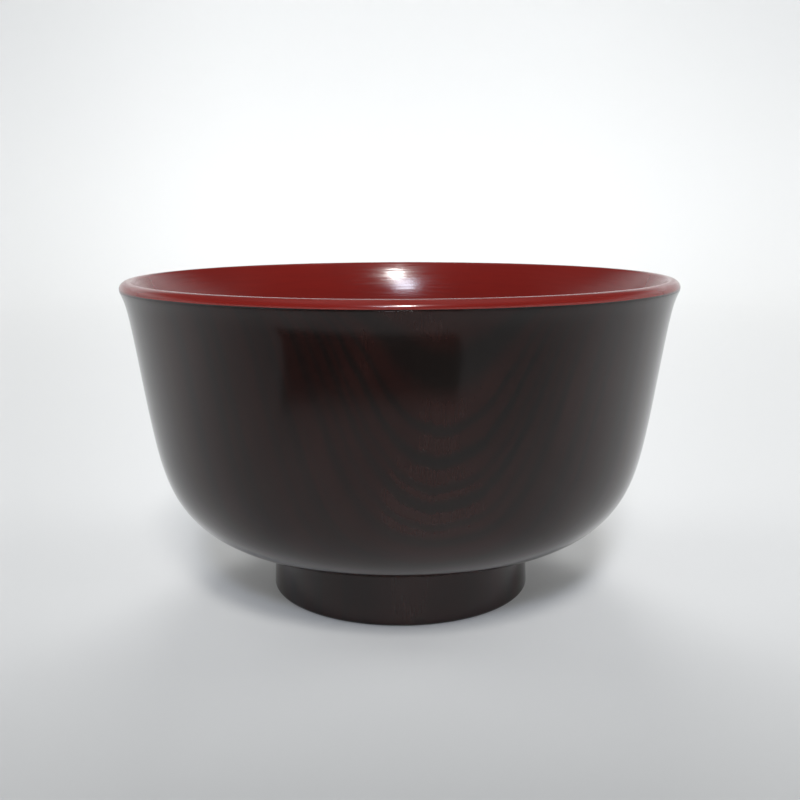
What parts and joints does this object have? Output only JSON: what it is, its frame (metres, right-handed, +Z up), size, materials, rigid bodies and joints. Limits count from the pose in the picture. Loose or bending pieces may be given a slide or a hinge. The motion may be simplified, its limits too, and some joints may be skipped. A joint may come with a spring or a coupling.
{
  "type": "rice bowl",
  "caption": "Turned wooden bowl with a flared lip on a foot ring, lacquered red inside and translucent brown over the grain outside.",
  "frame": {"origin": "centre of the foot's contact ring, on the surface the bowl stands on", "axes": "+Z up, the axis the bowl is turned about; X and Y are level and equivalent"},
  "size_m": [0.12, 0.12, 0.07],
  "materials": {
    "wood": "turned and sanded, sealed under the lacquer",
    "ground": "filled and rubbed flat",
    "dark_lacquer": "gloss",
    "red_lacquer": "gloss, brushed round the bowl",
    "brown_lacquer": "translucent gloss over visible grain"
  },
  "bodies": {
    "root": {"wooden_body": "wood", "ground_coat": "ground", "middle_coat": "dark_lacquer", "red_top_coat": "red_lacquer", "brown_lacquer": "brown_lacquer", "foot_ring_lacquer": "brown_lacquer", "foot_recess_lacquer": "dark_lacquer"}
  },
  "joints": []
}
